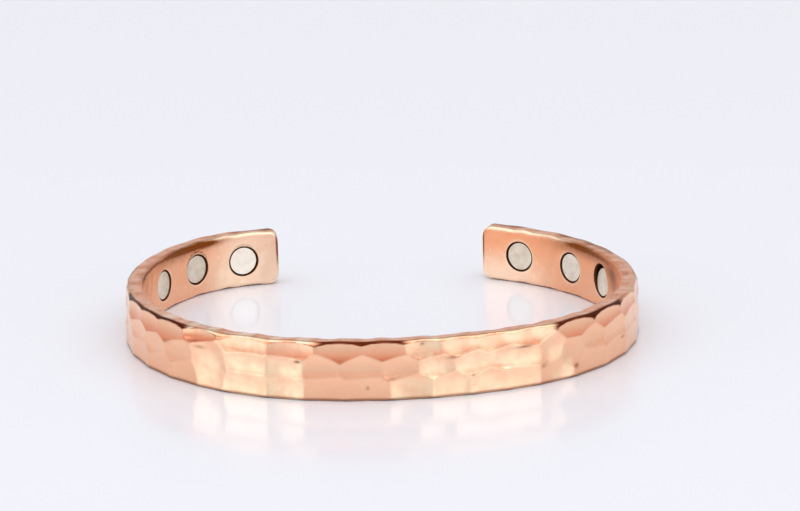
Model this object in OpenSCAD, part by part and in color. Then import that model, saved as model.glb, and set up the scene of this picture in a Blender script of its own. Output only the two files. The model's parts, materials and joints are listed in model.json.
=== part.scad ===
// Open cuff bracelet: a hammered copper band with three disc magnets let into the inside of each arm.
// The cuff lies on its lower rim. Z is up, the front of the wrist faces -Y and the opening faces +Y.
// The origin is the middle of the cuff's outline, on the surface that it lies on.

/* [Band] */
// Height of the band from rim to rim
band_h = 7.8; // [6.5:0.1:10]
// Thickness of the strip before it is hammered
band_t = 2.6; // [2.3:0.1:3.5]
// Radius that rounds the outer edge of the upper rim
outer_edge_r = 0.8; // [0.4:0.1:1]
// Radius that rounds the outer edge of the lower rim
foot_edge_r = 0.4; // [0.2:0.1:1]
// Radius that rounds the inner edges of both rims
inner_edge_r = 0.4; // [0.2:0.1:0.8]
// Radius of the corners at the tips of the arms
tip_corner_r = 1.5; // [0.8:0.1:2.2]

/* [Bends of the outer face] */
// Radius of the flat bend across the front
front_r = 47.8; // [44:0.1:52]
// Angle of the front bend left of its middle
left_front_turn = 6.8; // [4:0.1:12]
// Radius of the bend round the left side
left_side_r = 32.1; // [29:0.1:34]
// Angle of the bend round the left side
left_side_turn = 117.6; // [105:0.1:122]
// Radius of the bend of the left arm towards its tip
left_tip_r = 18.4; // [16:0.1:22]
// Angle of the bend of the left arm towards its tip
left_tip_turn = 53.7; // [45:0.1:58]
// Angle of the front bend right of its middle
right_front_turn = 24.9; // [18:0.1:28]
// Radius of the bend round the right side
right_side_r = 27.5; // [25:0.1:30]
// Angle of the bend round the right side
right_side_turn = 65.8; // [60:0.1:72]
// Radius of the bend of the right arm towards its tip
right_tip_r = 31.4; // [28:0.1:34]
// Angle of the bend of the right arm towards its tip
right_tip_turn = 67.1; // [58:0.1:72]

/* [Hammer marks] */
// Radius of the hammer's rounded face
hammer_r = 18; // [14:1:24]
// Depth of the deepest blow
blow_depth = 0.38; // [0.25:0.01:0.5]
// Distance between the blows on the arms
blow_pitch = 5.8; // [5:0.1:7]

/* [Magnets] */
// Diameter of a disc magnet
magnet_d = 4; // [3.4:0.1:4.6]
// Thickness of a disc magnet
magnet_t = 1; // [0.8:0.05:1.4]
// Bevel round both faces of a magnet
magnet_bevel = 0.12; // [0.05:0.01:0.2]
// Clearance round a magnet and under it
pocket_gap = 0.1; // [0.05:0.01:0.2]
// Depth of a magnet's face below the inside of the band
magnet_recess = 0.08; // [0.05:0.01:0.2]
// Distance from the tip of an arm to the middle of its first magnet
first_magnet = 6.2; // [5:0.1:8]
// Distance between the magnets of an arm
magnet_pitch = 9.5; // [7:0.1:11]

/* [Hidden] */
$fn = 96;

// Columns of a bend, and the bends of both arms from the front outwards
RADIUS = 0;
TURN = 1;
LEFT = [[front_r, left_front_turn], [left_side_r, left_side_turn], [left_tip_r, left_tip_turn]];
RIGHT = [[front_r, right_front_turn], [right_side_r, right_side_turn], [right_tip_r, right_tip_turn]];

// The wall is drawn through cross-sections this far apart
ring_step = 2.6;
// The outline's reach is measured at points this far apart
reach_step = 0.5;
// Angles at which rounded edges and the corners of the tips have their points
EDGE_ANGLES = [0, 45, 90];
TIP_ANGLES = [0, 30, 60];

// Heights of the three rows of blows, as shares of the band's height
ROW_HEIGHTS = [0.88, 0.55, 0.2];
// Blows charted on the front, in percent of an arm's length: left of the middle is negative
//   top     middle   bottom
BLOWS = [
    [-46.2,  -44.6,   -44.1],
    [-40.7,  -38.6,   -37.6],
    [-34.6,  -32.2,   -31.1],
    [-27.3,  -26.1,   -25.5],
    [-19.6,  -19.5,   -19.6],
    [-12.0,  -13.1,   -13.0],
    [ -4.8,   -7.9,    -7.4],
    [  1.6,   -1.5,    -1.1],
    [  7.4,    4.0,     5.5],
    [ 12.7,    9.3,    11.6],
    [ 18.1,   14.9,    17.2],
    [ 24.2,   22.9,    22.3],
    [ 32.1,   27.4,    28.4],
    [ 39.8,   31.4,    34.9],
    [ 47.1,   35.6,    42.0],
    [ 54.0,   41.5,    48.5]
];
// How far the blows on the arms stray, as a share of their distance, and how much their depth varies
blow_stray = 0.08;
depth_spread = 0.1;
// Angles that vary one blow from the next without repeating
STRAY_STEP = 137;
ROW_STEP = 61;

// Columns of the magnets. Shift and rise say how far one sits off its regular place, as shares of the
// magnet distance and of the band's height. Sink is the share of the wall behind it that it is set into.
// Lean is the angle that tips its top into the wall. Slip is how far the drill first strayed up before the
// pocket was drilled again in its place, as a share of the magnet's diameter.
NAME = 0;
ARM = 1;
NUMBER = 2;
SHIFT = 3;
RISE = 4;
SINK = 5;
LEAN = 6;
SLIP = 7;
MAGNETS = [
    ["magnet_left_1",  -1, 1, -0.03, -0.012, 0, 0, 0],
    ["magnet_left_2",  -1, 2, -0.06,  0.012, 0, 0, 0],
    ["magnet_left_3",  -1, 3, -0.08, -0.008, 0, 0, 0],
    ["magnet_right_1",  1, 1,  0.03,  0.006, 0, 0, 0],
    ["magnet_right_2",  1, 2,  0.13,  0.010, 0, 0, 0],
    ["magnet_right_3",  1, 3,  0.07, -0.010, 0.15, 6, 0.1]
];

// A place on an outline is [x, y, heading]: bending moves it along an arc that curves to the left
function bent(p, r, turn) =
    let (heading = p.z + turn)
    [p.x - r * sin(p.z) + r * sin(heading), p.y + r * cos(p.z) - r * cos(heading), heading];
function degrees(length, r) = length / r * 180 / PI;
function bend_length(bend) = bend[RADIUS] * bend[TURN] * PI / 180;
function arm_length(arm, i = 0) = i == len(arm) ? 0 : bend_length(arm[i]) + arm_length(arm, i + 1);

// The place a given length along an arm, and the furthest that an arm reaches in x and in y
function along(arm, length, i = 0, p = [0, 0, 0]) =
    let (bend = arm[i])
    length > bend_length(bend) && i < len(arm) - 1
        ? along(arm, length - bend_length(bend), i + 1, bent(p, bend[RADIUS], bend[TURN]))
        : bent(p, bend[RADIUS], degrees(length, bend[RADIUS]));
function reach(arm, axis) = max([for (length = [0 : reach_step : arm_length(arm)]) along(arm, length)[axis]]);

left_length = arm_length(LEFT);
right_length = arm_length(RIGHT);
middle = [(reach(RIGHT, 0) - reach(LEFT, 0)) / 2, max(reach(LEFT, 1), reach(RIGHT, 1)) / 2];

// The place on the outer face at length s from the front's middle: the left arm has negative s
function outer_face(s) =
    let (p = along(s < 0 ? LEFT : RIGHT, abs(s)), side = s < 0 ? -1 : 1)
    [side * p.x - middle.x, p.y - middle.y, side * p.z];

// Cross-section of the strip, as [distance out from the outer face, height]
function edge_points(out, up, r, from) = [for (a = EDGE_ANGLES) [out + r * cos(from + a), up + r * sin(from + a)]];
SECTION = concat(
    edge_points(-foot_edge_r, foot_edge_r, foot_edge_r, -90),
    edge_points(-outer_edge_r, band_h - outer_edge_r, outer_edge_r, 0),
    edge_points(inner_edge_r - band_t, band_h - inner_edge_r, inner_edge_r, 90),
    edge_points(inner_edge_r - band_t, inner_edge_r, inner_edge_r, 180)
);

// Share of the full height that the strip has at a distance u from its tip
function tip_height(u) =
    let (left = max(tip_corner_r - u, 0))
    1 - 2 * (tip_corner_r - sqrt(tip_corner_r * tip_corner_r - left * left)) / band_h;
tip_rings = [for (a = TIP_ANGLES) tip_corner_r * (1 - cos(a))];
wall_length = left_length + right_length - 2 * tip_corner_r;
wall_steps = ceil(wall_length / ring_step);
RINGS = concat(
    [for (u = tip_rings) u - left_length],
    [for (i = [0 : wall_steps]) tip_corner_r - left_length + wall_length * i / wall_steps],
    [for (i = [len(tip_rings) - 1 : -1 : 0]) right_length - tip_rings[i]]
);

// The bent strip before it is hammered
module strip() {
    corners = len(SECTION);
    last = len(RINGS) - 1;
    points = [
        for (s = RINGS)
            let (p = outer_face(s), share = tip_height(min(s + left_length, right_length - s)))
            for (q = SECTION)
                [p.x + q.x * sin(p.z), p.y - q.x * cos(p.z), band_h / 2 + (q.y - band_h / 2) * share]
    ];
    sides = [
        for (i = [0 : last - 1])
            for (j = [0 : corners - 1])
                let (k = (j + 1) % corners)
                [i * corners + j, (i + 1) * corners + j, (i + 1) * corners + k, i * corners + k]
    ];
    left_tip = [for (j = [0 : corners - 1]) j];
    right_tip = [for (j = [corners - 1 : -1 : 0]) last * corners + j];
    polyhedron(points, concat([left_tip], sides, [right_tip]), convexity = 8);
}

// Where the blows of a row fall: the charted ones, then more at a regular distance up to the tips
function stray(i, row) = blow_stray * blow_pitch * sin(STRAY_STEP * i + ROW_STEP * row);
function blows_left(from, to) = max(floor((to - from) / blow_pitch), 0);
function charted(row) = [for (b = BLOWS) b[row] / 100 * (b[row] < 0 ? left_length : right_length)];
function row_places(row) =
    let (front = charted(row), first = front[0], last = front[len(front) - 1])
    concat(
        [for (i = [1 : 1 : blows_left(-first, left_length)]) first - i * blow_pitch + stray(i, row)],
        front,
        [for (i = [1 : 1 : blows_left(last, right_length)]) last + i * blow_pitch + stray(-i, row)]
    );

// A ball that takes out one hammer mark
module blow(s, up, depth) {
    p = outer_face(s);
    out = hammer_r - depth;
    translate([p.x + out * sin(p.z), p.y - out * cos(p.z), up]) sphere(hammer_r);
}

module hammer_marks() {
    for (row = [0 : len(ROW_HEIGHTS) - 1]) {
        places = row_places(row);
        for (i = [0 : len(places) - 1]) {
            vary = sin(STRAY_STEP * (i + ROW_STEP * row));
            blow(places[i], ROW_HEIGHTS[row] * band_h, blow_depth * (1 - depth_spread * (1 + vary) / 2));
        }
    }
}

// Wall left behind the deepest blow and a magnet that lies flush, which a sunken magnet uses a share of
spare_wall = band_t - blow_depth - magnet_recess - magnet_t - pocket_gap;
function magnet_depth(m) = magnet_recess + m[SINK] * spare_wall;
function pocket_depth(m) = magnet_depth(m) + magnet_t + magnet_d / 2 * sin(m[LEAN]) + pocket_gap;

// Puts its children at a magnet's place on the inner face, with Z going into the wall
module at_magnet(m) {
    from_tip = first_magnet + magnet_pitch * (m[NUMBER] - 1 + m[SHIFT]);
    p = outer_face(m[ARM] < 0 ? from_tip - left_length : right_length - from_tip);
    translate([p.x - band_t * sin(p.z), p.y + band_t * cos(p.z), band_h * (0.5 + m[RISE])])
        rotate([90, 0, p.z]) children();
}

module pocket(m) {
    mouth = band_t / 2;
    slip = m[SLIP] * magnet_d;
    for (stray = slip > 0 ? [0, slip] : [0])
        at_magnet(m) translate([m[ARM] * stray / 2, stray, -mouth])
            cylinder(d = magnet_d + 2 * pocket_gap, h = mouth + pocket_depth(m));
}

module band() {
    color("#c97a55") difference() {
        strip();
        hammer_marks();
        for (m = MAGNETS) pocket(m);
    }
}

module magnet(m) {
    r = magnet_d / 2;
    rim = r - magnet_bevel;
    color("#c6c4be") at_magnet(m) translate([0, 0, magnet_depth(m)]) rotate([m[LEAN], 0, 0]) rotate_extrude()
        polygon([
            [0, 0], [rim, 0], [r, magnet_bevel],
            [r, magnet_t - magnet_bevel], [rim, magnet_t], [0, magnet_t]
        ]);
}

band();
for (m = MAGNETS) magnet(m);
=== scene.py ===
"""A hammered copper cuff with six disc magnets let into its inside, lying on its lower rim on a pale floor.

Lengths are in millimetres until a mesh is made. The frame is the CAD model's: Z is up, the front of the
wrist faces -Y, the opening faces +Y, and the origin is the middle of the cuff's outline on the floor.
"""

import json
import logging
import math
from dataclasses import dataclass, field
from enum import Enum

import bpy
import numpy as np
from mathutils import Matrix, Vector

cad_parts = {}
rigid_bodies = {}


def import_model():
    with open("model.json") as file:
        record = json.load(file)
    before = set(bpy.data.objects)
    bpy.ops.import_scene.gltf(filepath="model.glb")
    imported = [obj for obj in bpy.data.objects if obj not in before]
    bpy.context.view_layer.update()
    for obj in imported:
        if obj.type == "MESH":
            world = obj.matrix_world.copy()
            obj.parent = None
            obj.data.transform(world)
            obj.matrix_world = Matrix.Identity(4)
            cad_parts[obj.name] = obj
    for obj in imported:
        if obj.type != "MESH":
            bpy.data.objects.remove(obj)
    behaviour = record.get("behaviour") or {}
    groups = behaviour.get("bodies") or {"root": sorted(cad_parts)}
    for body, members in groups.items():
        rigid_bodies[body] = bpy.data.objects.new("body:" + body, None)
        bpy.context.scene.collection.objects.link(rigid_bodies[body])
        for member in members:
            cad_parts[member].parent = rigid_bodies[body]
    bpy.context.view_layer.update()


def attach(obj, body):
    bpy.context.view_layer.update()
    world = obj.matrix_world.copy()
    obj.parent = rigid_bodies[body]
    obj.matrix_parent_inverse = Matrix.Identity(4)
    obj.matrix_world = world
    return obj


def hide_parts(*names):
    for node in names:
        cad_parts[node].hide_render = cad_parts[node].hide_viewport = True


MM = 0.001
LOG = logging.getLogger("cuff")
Linear = tuple[float, float, float, float]
Socket = bpy.types.NodeSocket


def linear(colour: str) -> Linear:
    """Turns an sRGB hex colour, six digits after a #, to linear red, green, blue and a full alpha."""
    parts = [int(colour[i:i + 2], 16) / 255 for i in (1, 3, 5)]
    red, green, blue = [c / 12.92 if c <= 0.04045 else ((c + 0.055) / 1.055) ** 2.4 for c in parts]
    return red, green, blue, 1.0


def smooth_step(low: float, high: float, value: np.ndarray) -> np.ndarray:
    """Rises softly from 0 at low to 1 at high."""
    share = np.clip((value - low) / (high - low), 0, 1)
    return share * share * (3 - 2 * share)


def window(start: float, end: float, soft: float, value: np.ndarray) -> np.ndarray:
    """Is 1 from start to end and 0 outside, with each side as soft as it says."""
    return smooth_step(start - soft, start + soft, value) * smooth_step(end + soft, end - soft, value)


def new_object(name: str, data: bpy.types.ID) -> bpy.types.Object:
    """Makes an object that shows the data, and puts it in the scene."""
    made = bpy.data.objects.new(name, data)
    bpy.context.scene.collection.objects.link(made)
    return made


def new_mesh(name: str, points: np.ndarray, faces: list[tuple[int, ...]],
             notes: dict[str, np.ndarray]) -> bpy.types.Object:
    """Makes a mesh whose points carry named numbers or vectors.

    Args:
        name: the name of the mesh and of its object.
        points: rows of x, y and z in millimetres.
        faces: the numbers of each face's corners.
        notes: for an attribute's name, a number or a vector for each point.

    Returns:
        The mesh's object, in the scene.
    """
    mesh = bpy.data.meshes.new(name)
    mesh.from_pydata((np.asarray(points) * MM).tolist(), [], faces)
    for key, values in notes.items():
        kind, column = ("FLOAT_VECTOR", "vector") if np.ndim(values) == 2 else ("FLOAT", "value")
        mesh.attributes.new(key, kind, "POINT").data.foreach_set(column, np.ravel(values))
    return new_object(name, mesh)


class Nodes:
    """A node tree, with short ways to add the nodes that the shapes and the finishes share."""

    def __init__(self, tree: bpy.types.NodeTree) -> None:
        """Takes the tree that the nodes go into."""
        self.tree = tree

    def add(self, kind: str, inputs: dict | None = None, **settings: object) -> bpy.types.Node:
        """Adds a node with its settings and links.

        Args:
            kind: the type name of the node.
            inputs: for an input's name or number, its value or the output that feeds it.
            settings: the node's own properties.

        Returns:
            The new node.
        """
        node = self.tree.nodes.new(kind)
        for name, value in settings.items():
            setattr(node, name, value)
        for name, value in (inputs or {}).items():
            if isinstance(value, Socket):
                self.tree.links.new(value, node.inputs[name])
            else:
                node.inputs[name].default_value = value
        return node

    def maths(self, operation: str, *values: object) -> Socket:
        """Adds a Math node with its values in order."""
        return self.add("ShaderNodeMath", dict(enumerate(values)), operation=operation).outputs[0]

    def times(self, product: object, *values: object) -> Socket:
        """Multiplies values in order."""
        for value in values:
            product = self.maths("MULTIPLY", product, value)
        return product

    def ramp(self, value: Socket, start: float, end: float, low: float = 0.0, high: float = 1.0,
             kind: str = "LINEAR") -> Socket:
        """Maps a value from start and end to low and high, and keeps it between them."""
        return self.add("ShaderNodeMapRange", {0: value, 1: start, 2: end, 3: low, 4: high},
                        interpolation_type=kind).outputs[0]

    def parts(self, vector: Socket) -> list[Socket]:
        """The x, y and z of a vector."""
        return list(self.add("ShaderNodeSeparateXYZ", {0: vector}).outputs)


class Group(Nodes):
    """A Geometry Nodes tree with named inputs, which makes a plain mesh of what it is run on."""

    def __init__(self, name: str, inputs: dict[str, str]) -> None:
        """Makes the tree with a geometry input and others: the kind of each one's socket, by name."""
        super().__init__(bpy.data.node_groups.new(name, "GeometryNodeTree"))
        sockets = self.tree.interface
        sockets.new_socket("Geometry", in_out="OUTPUT", socket_type="NodeSocketGeometry")
        self.ids = {key: sockets.new_socket(key, in_out="INPUT", socket_type=f"NodeSocket{kind}").identifier
                    for key, kind in {"Geometry": "Geometry", **inputs}.items()}
        self.given = self.add("NodeGroupInput").outputs

    def geometry_of(self, name: str) -> Socket:
        """The geometry of the object given under a name."""
        return self.add("GeometryNodeObjectInfo", {"Object": self.given[name]}).outputs["Geometry"]

    def read(self, name: str, kind: str = "FLOAT") -> Socket:
        """Reads a named attribute of the points."""
        return self.add("GeometryNodeInputNamedAttribute", {"Name": name}, data_type=kind).outputs[0]

    def store(self, geometry: Socket, name: str, value: object) -> Socket:
        """Stores a number under a name on the points, and returns the geometry."""
        kept = self.add("GeometryNodeStoreNamedAttribute", data_type="FLOAT", domain="POINT",
                        inputs={"Geometry": geometry, "Name": name, "Value": value})
        return kept.outputs[0]

    def dress(self, geometry: Socket, material: str, only: Socket | bool = True) -> Socket:
        """Gives the chosen faces the material given under a name."""
        return self.add("GeometryNodeSetMaterial", {"Geometry": geometry, "Material": self.given[material],
                                                    "Selection": only}).outputs[0]

    def realize(self, geometry: Socket) -> Socket:
        """Makes real geometry of any instances."""
        return self.add("GeometryNodeRealizeInstances", {"Geometry": geometry}).outputs[0]

    def run(self, source: bpy.types.Object, name: str, values: dict[str, object]) -> bpy.types.Object:
        """Runs the tree on an object and keeps the result as a plain mesh.

        Args:
            source: the object that the tree starts from, which is removed.
            name: the name of the piece.
            values: a value for each named input.

        Returns:
            A new object at the origin, without modifiers.
        """
        modifier = source.modifiers.new(self.tree.name, "NODES")
        modifier.node_group = self.tree
        for key, value in values.items():
            modifier[self.ids[key]] = value
        graph = bpy.context.evaluated_depsgraph_get()
        mesh = bpy.data.meshes.new_from_object(source.evaluated_get(graph), depsgraph=graph)
        mesh.name = name
        source.modifiers.remove(modifier)
        bpy.data.objects.remove(source)
        return new_object(name, mesh)


@dataclass(frozen=True)
class Bend:
    """One arc of the cuff's outer face, seen from above."""

    radius: float
    turn: float

    @property
    def length(self) -> float:
        """The arc's length."""
        return self.radius * math.radians(self.turn)


class Arm(Enum):
    """The two arms of the cuff, and the sign of a length along them."""

    LEFT = -1
    RIGHT = 1


@dataclass(frozen=True)
class Outline:
    """The outer face seen from above: bends from the middle of the front out to each tip."""

    left: tuple[Bend, ...] = (Bend(47.8, 6.8), Bend(32.1, 117.6), Bend(18.4, 53.7))
    right: tuple[Bend, ...] = (Bend(47.8, 24.9), Bend(27.5, 65.8), Bend(31.4, 67.1))
    reach_step: float = 0.5

    def length(self, arm: Arm) -> float:
        """The length of an arm, from the middle of the front to its tip."""
        return sum(bend.length for bend in (self.left if arm is Arm.LEFT else self.right))

    def from_tip(self, s: np.ndarray) -> np.ndarray:
        """The distance to the nearer tip."""
        return np.minimum(s + self.length(Arm.LEFT), self.length(Arm.RIGHT) - s)

    def walk(self, bends: tuple[Bend, ...], lengths: np.ndarray) -> np.ndarray:
        """Goes lengths along an arm's bends from the origin: rows of x, y and heading, in radians."""
        x, y, heading, done = np.zeros((4, *lengths.shape))
        for bend in bends:
            limit = bend.length if bend is not bends[-1] else np.inf
            after = heading + np.clip(lengths - done, 0, limit) / bend.radius
            x = x + bend.radius * (np.sin(after) - np.sin(heading))
            y = y + bend.radius * (np.cos(heading) - np.cos(after))
            heading, done = after, done + bend.length
        return np.stack([x, y, heading])

    def middle(self) -> tuple[float, float]:
        """The middle of the whole outline, in the frame that starts at the middle of the front."""
        reach = [self.walk(bends, np.arange(0, self.length(arm), self.reach_step))[:2].max(axis=1)
                 for bends, arm in ((self.left, Arm.LEFT), (self.right, Arm.RIGHT))]
        return (reach[1][0] - reach[0][0]) / 2, max(reach[0][1], reach[1][1]) / 2

    def outer_face(self, s: np.ndarray) -> np.ndarray:
        """Places on the outer face at lengths s, negative on the left arm: rows of x, y and heading."""
        s = np.asarray(s, dtype=float)
        side = np.where(s < 0, -1.0, 1.0)
        far = np.abs(s)
        x, y, heading = np.where(s < 0, self.walk(self.left, far), self.walk(self.right, far))
        middle_x, middle_y = self.middle()
        return np.stack([side * x - middle_x, y - middle_y, side * heading])

    def place(self, s: np.ndarray, out: np.ndarray, up: np.ndarray) -> np.ndarray:
        """Points at a distance out from the outer face and a height up, as an array of x, y, z."""
        x, y, heading = self.outer_face(s)
        return np.stack([x + out * np.sin(heading), y - out * np.cos(heading), up + 0 * x], axis=-1)


@dataclass(frozen=True)
class MagnetSeat:
    """Where a magnet is let into the inside of an arm, how deep and how crooked, and how brightly its plate
    is painted to stand in for the light it catches.

    Shift is in magnet pitches, rise in band heights, sink in the depth to spare, lean in degrees, and
    slip, how far the drill strayed, in magnet sizes.
    """

    name: str
    arm: Arm
    number: int
    shift: float
    rise: float
    sink: float = 0.0
    lean: float = 0.0
    slip: float = 0.0
    shine: float = 0.4


# Each seat paints its disc brighter or duller, standing in for the light the disc catches.
SEATS = (
    MagnetSeat("magnet_left_1", Arm.LEFT, 1, -0.03, -0.012, shine=1.0),
    MagnetSeat("magnet_left_2", Arm.LEFT, 2, -0.06, 0.012, shine=0.3),
    MagnetSeat("magnet_left_3", Arm.LEFT, 3, -0.08, -0.008),
    MagnetSeat("magnet_right_1", Arm.RIGHT, 1, 0.03, 0.006, shine=0.2),
    MagnetSeat("magnet_right_2", Arm.RIGHT, 2, 0.13, 0.010, shine=0.6),
    MagnetSeat("magnet_right_3", Arm.RIGHT, 3, 0.07, -0.010, sink=0.15, lean=6.0, slip=0.1, shine=0.6),
)


@dataclass(frozen=True)
class Strip:
    """The bent strip that the cuff is made of, before it is hammered, with its seats for the magnets."""

    outline: Outline = Outline()
    height: float = 7.8
    thickness: float = 2.6
    outer_edge_r: float = 0.8
    foot_edge_r: float = 0.4
    inner_edge_r: float = 0.4
    tip_corner_r: float = 1.5
    tip_edge_r: float = 0.35
    blow_depth: float = 0.38
    magnet_d: float = 4.0
    magnet_t: float = 1.0
    pocket_gap: float = 0.1
    magnet_recess: float = 0.08
    first_magnet: float = 6.2
    magnet_pitch: float = 9.5
    ring_step: float = 0.212
    face_steps: int = 44
    inside_steps: int = 26
    shoulder_steps: int = 8
    rim_steps: int = 6
    edge_steps: int = 4

    def rings(self) -> np.ndarray:
        """Lengths of the cross-sections along the strip, closer together round the tips."""
        left, right = (self.outline.length(arm) for arm in (Arm.LEFT, Arm.RIGHT))
        edge = self.tip_edge_r * (1 - np.cos(np.radians(np.arange(0, 90, 18))))
        corner = self.tip_edge_r + (self.tip_corner_r - self.tip_edge_r) * np.arange(0, 1, 0.125)
        tip = np.concatenate([edge, corner])
        count = round((left + right - 2 * self.tip_corner_r) / self.ring_step) + 1
        middle = np.linspace(self.tip_corner_r - left, right - self.tip_corner_r, count)
        return np.concatenate([tip - left, middle, (right - tip)[::-1]])

    def section(self, s: float) -> np.ndarray:
        """The cross-section at a length.

        Args:
            s: length from the middle of the front.

        Returns:
            Rows of distance out from the outer face and height over the middle of the band, starting at
            the foot of the outer face and going up it, over the upper rim and down the inside.
        """
        from_tip = float(self.outline.from_tip(s))
        inset = self.rounding(self.tip_edge_r, from_tip)
        half = self.height / 2 - self.rounding(self.tip_corner_r, from_tip) - inset
        outside, inside = -inset, inset - self.thickness
        big, foot, small = self.outer_edge_r, self.foot_edge_r, self.inner_edge_r
        # The steps of each side and of the corner it ends in, then that corner's middle and radius
        sides = ((self.face_steps, self.shoulder_steps, outside - big, half - big, big),
                 (self.rim_steps, self.edge_steps, inside + small, half - small, small),
                 (self.inside_steps, self.edge_steps, inside + small, small - half, small),
                 (self.rim_steps, self.shoulder_steps, outside - foot, foot - half, foot))
        rows, last = [], np.array([outside, foot - half])
        for number, (side_steps, corner_steps, out, up, r) in enumerate(sides):
            angle = np.radians(90 * (number + np.arange(corner_steps + 1) / corner_steps))
            corner = np.stack([out + r * np.cos(angle), up + r * np.sin(angle)])
            rows += [np.linspace(last, corner[:, 0], side_steps, endpoint=False).T, corner[:, :-1]]
            last = corner[:, -1]
        return np.concatenate(rows, axis=1)

    @staticmethod
    def rounding(r: float, gone: float) -> float:
        """How far a corner of radius r has fallen back, with gone of it behind."""
        left = max(r - gone, 0)
        return r - math.sqrt(r * r - left * left)

    def seat(self, seat: MagnetSeat) -> tuple[float, float, float]:
        """A magnet's length along the band, its height over the middle and its depth below the inside."""
        from_tip = self.first_magnet + self.magnet_pitch * (seat.number - 1 + seat.shift)
        spare = self.thickness - self.blow_depth - self.magnet_recess - self.magnet_t - self.pocket_gap
        s = seat.arm.value * (self.outline.length(seat.arm) - from_tip)
        return s, seat.rise * self.height, self.magnet_recess + seat.sink * spare

    def pocket_floor(self, seat: MagnetSeat) -> float:
        """The depth of a pocket's floor below the inside, with room for a magnet that leans."""
        lean = self.magnet_d / 2 * math.sin(math.radians(seat.lean))
        return self.seat(seat)[2] + self.magnet_t + lean + self.pocket_gap

    def pocket_mouth(self, seat: MagnetSeat, angle: np.ndarray) -> np.ndarray:
        """A pocket's radius at angles from the band's length towards up: a drill may stray as it bites."""
        r = self.magnet_d / 2 + self.pocket_gap
        along, up = seat.arm.value * seat.slip * self.magnet_d / 2, seat.slip * self.magnet_d
        towards = along * np.cos(angle) + up * np.sin(angle)
        strayed = towards + np.sqrt(r * r - along * along - up * up + towards * towards)
        return np.maximum(r, strayed)


@dataclass
class Shell:
    """A mesh in the making: where each point is in the strip, and the faces."""

    places: list[np.ndarray] = field(default_factory=list)
    faces: list[tuple[int, ...]] = field(default_factory=list)
    in_pocket: list[bool] = field(default_factory=list)
    count: int = 0

    def add_points(self, place: np.ndarray) -> int:
        """Adds points given as rows of length, distance out and height; returns the first one's number."""
        first = self.count
        self.places.append(place)
        self.count += place.shape[1]
        return first

    def add_faces(self, faces: list[tuple[int, ...]], in_pocket: bool = False) -> None:
        """Adds faces, and says if they belong to a pocket."""
        self.faces += faces
        self.in_pocket += [in_pocket] * len(faces)

    def bridge(self, outer: np.ndarray, inner: np.ndarray, in_pocket: bool = False) -> None:
        """Joins two rings of points with four-sided faces."""
        quads = np.stack([outer, np.roll(outer, -1), np.roll(inner, -1), inner], axis=1)
        self.add_faces([tuple(quad) for quad in quads.tolist()], in_pocket)


@dataclass(frozen=True)
class Mark:
    """A row's usual mark: its height, its size on flat metal, its depth, and how flat its middle is."""

    height: float
    length: float
    tall: float
    depth: float
    flat: float


class Row(Enum):
    """The three rows of blows."""

    TOP = Mark(6.90, 7.7, 4.7, 0.34, 0.4)
    MIDDLE = Mark(4.25, 7.5, 4.5, 0.36, 0.8)
    FOOT = Mark(1.50, 7.0, 5.8, 0.32, 0.6)


@dataclass(frozen=True)
class Blow:
    """One blow of the hammer: its place along the band, and how its mark differs from its row's."""

    place: float
    row: Row
    rise: float = 0.0
    length: float = 0.0
    tall: float = 0.0
    depth: float = 0.0
    turn: float = 0.0

    def columns(self) -> tuple[tuple[float, float, float], tuple[float, float, float]]:
        """The mark's place, height and depth, and its curvature along and up with its turn."""
        mark = self.row.value
        depth = mark.depth + self.depth
        along, up = (4 * depth / size ** 2 for size in (mark.length + self.length, mark.tall + self.tall))
        return (self.place, mark.height + self.rise, depth), (along, up, math.radians(self.turn))


# Blows charted on the front, as the photograph shows them, with a blow's own columns after its place
FRONT_MARKS = {
    Row.TOP: (
        (-41.0,), (-36.1, -0.1), (-30.9, -0.15, 0.3, 0.2), (-24.7, 0.55, 0.2, -1.4, 0.03, -9), (-17.4, 0.1),
        (-10.9, -0.1), (-4.3,), (1.4,), (6.7,), (11.4,), (16.1, 0.1), (21.6, 0.1), (28.6, -0.05),
        (35.5, -0.05), (42.0,), (48.1,)),
    Row.MIDDLE: (
        (-39.6,), (-34.6, -0.6), (-28.9, -0.35), (-23.3, -1.2, 0.8, 4.0), (-17.3, 0.0, 0.0, 0.4),
        (-11.6, 0.0, 0.0, 0.6), (-7.05, 0.05, -0.6), (-1.35, 0.1), (3.5,), (8.3, -0.1), (13.3,), (17.4, 0.2),
        (20.5, -0.1, 0.8), (24.4, 0.2, 0.0, 1.0), (28.0, -0.6, 0.2, 0.8), (31.7, 0.2), (37.0, 0.0, 1.0),
        (43.0,)),
    Row.FOOT: (
        (-39.2,), (-33.4,), (-27.6,), (-17.4, 0.0, 0.5), (-11.5,), (-6.6,), (-1.1,), (5.0, 0.2), (10.3,),
        (15.3,), (19.9,), (24.9,), (31.1, 0.2), (37.4,), (43.2,)),
}
FRONT_BLOWS = tuple(Blow(mark[0], row, *mark[1:]) for row, marks in FRONT_MARKS.items() for mark in marks)


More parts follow.
